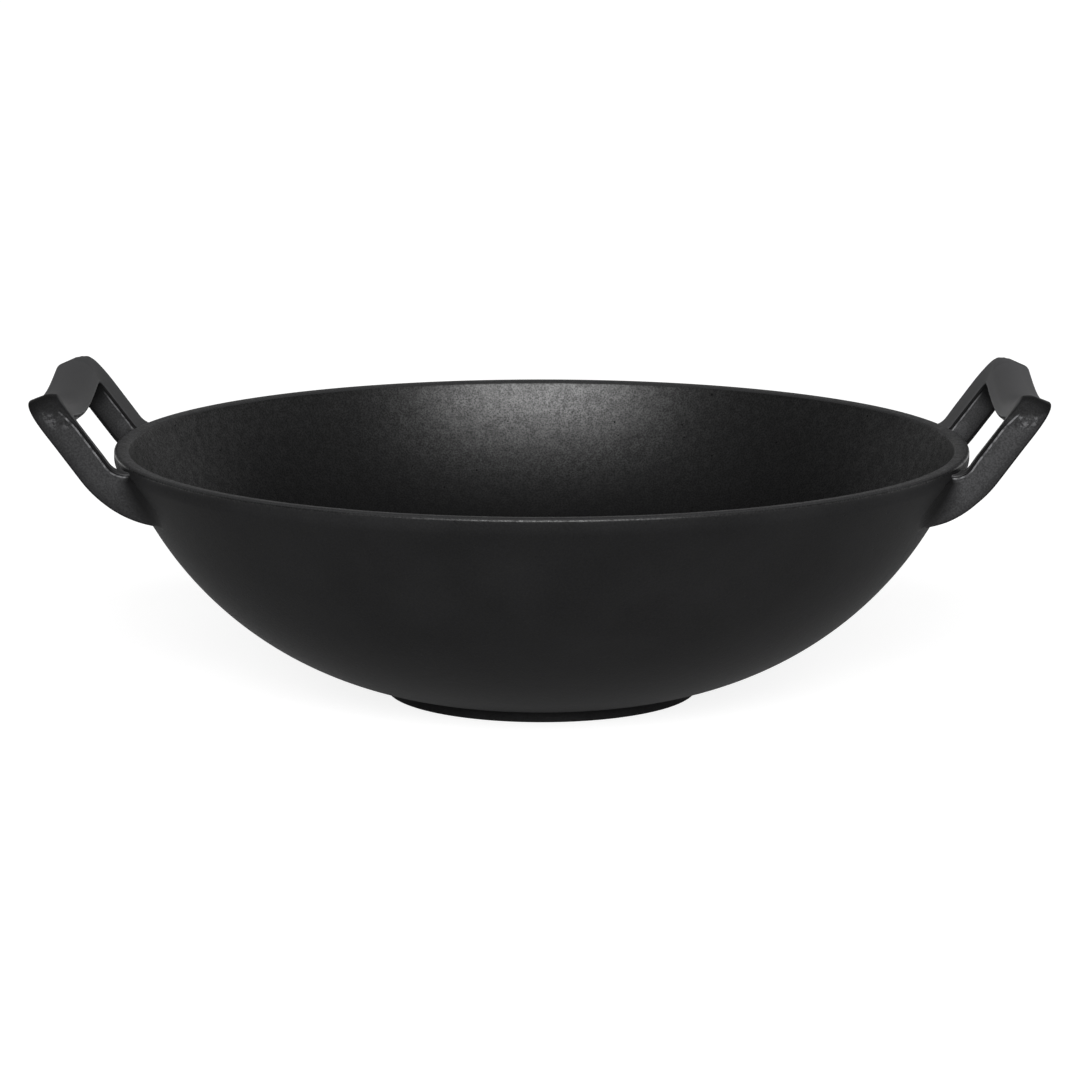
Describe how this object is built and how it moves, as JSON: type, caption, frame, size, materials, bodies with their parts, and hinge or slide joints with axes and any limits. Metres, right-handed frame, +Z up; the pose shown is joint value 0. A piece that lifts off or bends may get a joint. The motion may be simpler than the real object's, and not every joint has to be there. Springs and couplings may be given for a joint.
{
  "type": "wok",
  "caption": "Round cast iron wok with a thickened, crowned rim, a low foot ring and an upswept loop handle on each side, for frying and simmering on a stove.",
  "frame": {"origin": "on the table under the middle of the foot ring", "axes": "+X towards the right-hand handle, +Y away from the cook, +Z up"},
  "size_m": [0.421, 0.36, 0.1345],
  "materials": {
    "bowl_iron": "oiled sand-cast iron with a fine grain and a satin sheen",
    "rim_iron": "oiled cast iron, rubbed paler along the edge",
    "foot_iron": "dull dark cast iron",
    "arm_iron": "rough as-cast iron with a brushed, scuffed face",
    "grip_iron": "satin cast iron, smoothed by hand"
  },
  "bodies": {
    "root": {"bowl": "bowl_iron", "rim": "rim_iron", "foot_ring": "foot_iron", "left_front_arm": "arm_iron", "left_rear_arm": "arm_iron", "left_grip": "grip_iron", "right_front_arm": "arm_iron", "right_rear_arm": "arm_iron", "right_grip": "grip_iron"}
  },
  "joints": []
}
